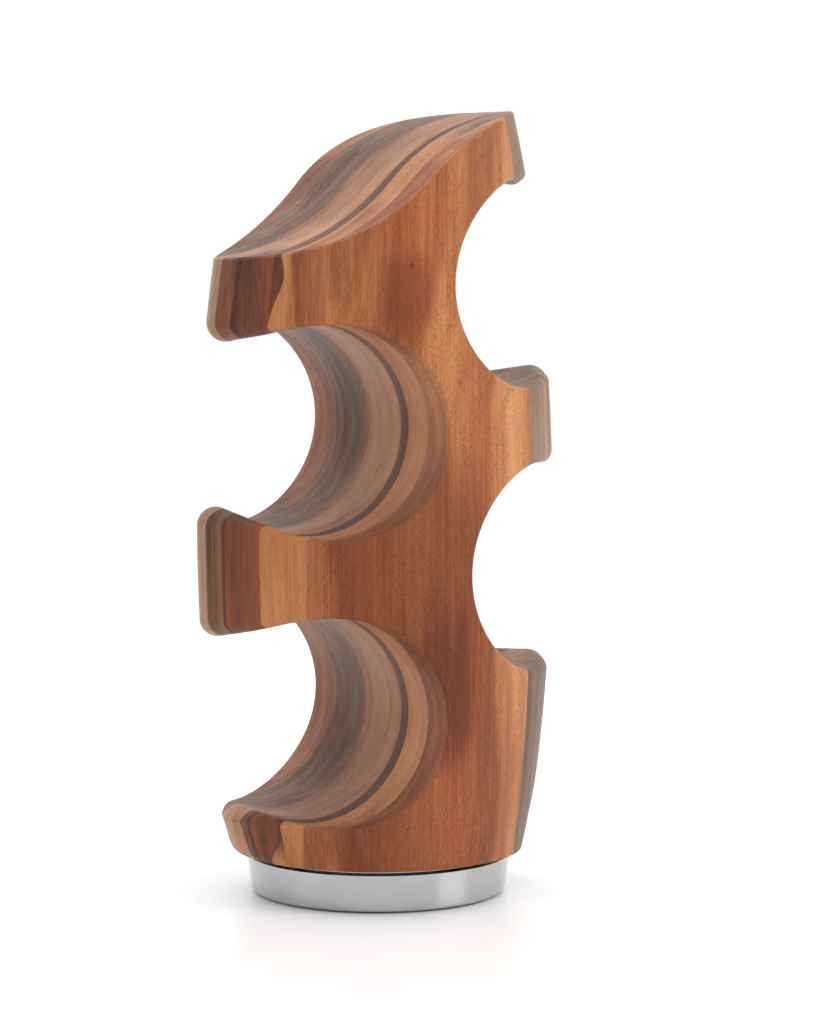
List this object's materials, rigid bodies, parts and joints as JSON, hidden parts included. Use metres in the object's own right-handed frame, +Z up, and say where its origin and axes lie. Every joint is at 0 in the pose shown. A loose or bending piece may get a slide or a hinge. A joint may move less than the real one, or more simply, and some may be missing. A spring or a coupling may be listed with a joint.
{
  "type": "wine rack",
  "caption": "Tabletop wine rack: a sculpted block of laminated wood with open bottle notches down both sides, turning on a round polished base.",
  "frame": {"origin": "centre of the underside of the base, on the turning axis", "axes": "+Z up; bottles lie along Y with their necks to -Y; +X is the side with the two raised notches and the crest"},
  "size_m": [0.1664, 0.1274, 0.3326],
  "materials": {
    "front_outer_board_wood": "satin oiled hardwood",
    "front_middle_board_wood": "satin oiled hardwood",
    "front_inner_board_wood": "satin oiled hardwood",
    "core_board_wood": "satin oiled hardwood",
    "rear_inner_board_wood": "satin oiled hardwood",
    "rear_middle_board_wood": "satin oiled hardwood",
    "rear_outer_board_wood": "satin oiled hardwood",
    "insert_brass": "plain brass",
    "plate_chrome": "polished plate",
    "screw_steel": "zinc plated",
    "race_steel": "ground steel",
    "ball_steel": "polished steel",
    "cage_nylon": "natural nylon",
    "bolt_steel": "zinc plated",
    "bush_nylon": "black nylon",
    "base_chrome": "polished",
    "ballast_iron": "as cast, painted",
    "pad_rubber": "matt"
  },
  "bodies": {
    "base": {"base_shell": "base_chrome", "ballast_ring": "ballast_iron", "ballast_screws": "screw_steel", "anti_slip_pad": "pad_rubber", "lower_race": "race_steel", "flange_bush": "bush_nylon"},
    "rack": {"front_outer_board": "front_outer_board_wood", "front_middle_board": "front_middle_board_wood", "front_inner_board": "front_inner_board_wood", "core_board": "core_board_wood", "rear_inner_board": "rear_inner_board_wood", "rear_middle_board": "rear_middle_board_wood", "rear_outer_board": "rear_outer_board_wood", "threaded_insert": "insert_brass", "turntable_plate": "plate_chrome", "plate_screws": "screw_steel", "upper_race": "race_steel", "pivot_bolt": "bolt_steel", "thrust_washer": "bush_nylon"},
    "ball_set": {"bearing_balls": "ball_steel", "ball_cage": "cage_nylon"}
  },
  "joints": [
    {"name": "rack_swivel", "type": "hinge", "parent": "base", "child": "rack", "pos_m": [0, 0, 0.018], "axis": [0, 0, 1], "continuous": true},
    {"name": "ball_set_roll", "type": "hinge", "parent": "base", "child": "ball_set", "pos_m": [0, 0, 0.0149], "axis": [0, 0, 1], "continuous": true}
  ],
  "couplings": [
    {"joint": "ball_set_roll", "follows": "rack_swivel", "ratio": 0.5}
  ]
}
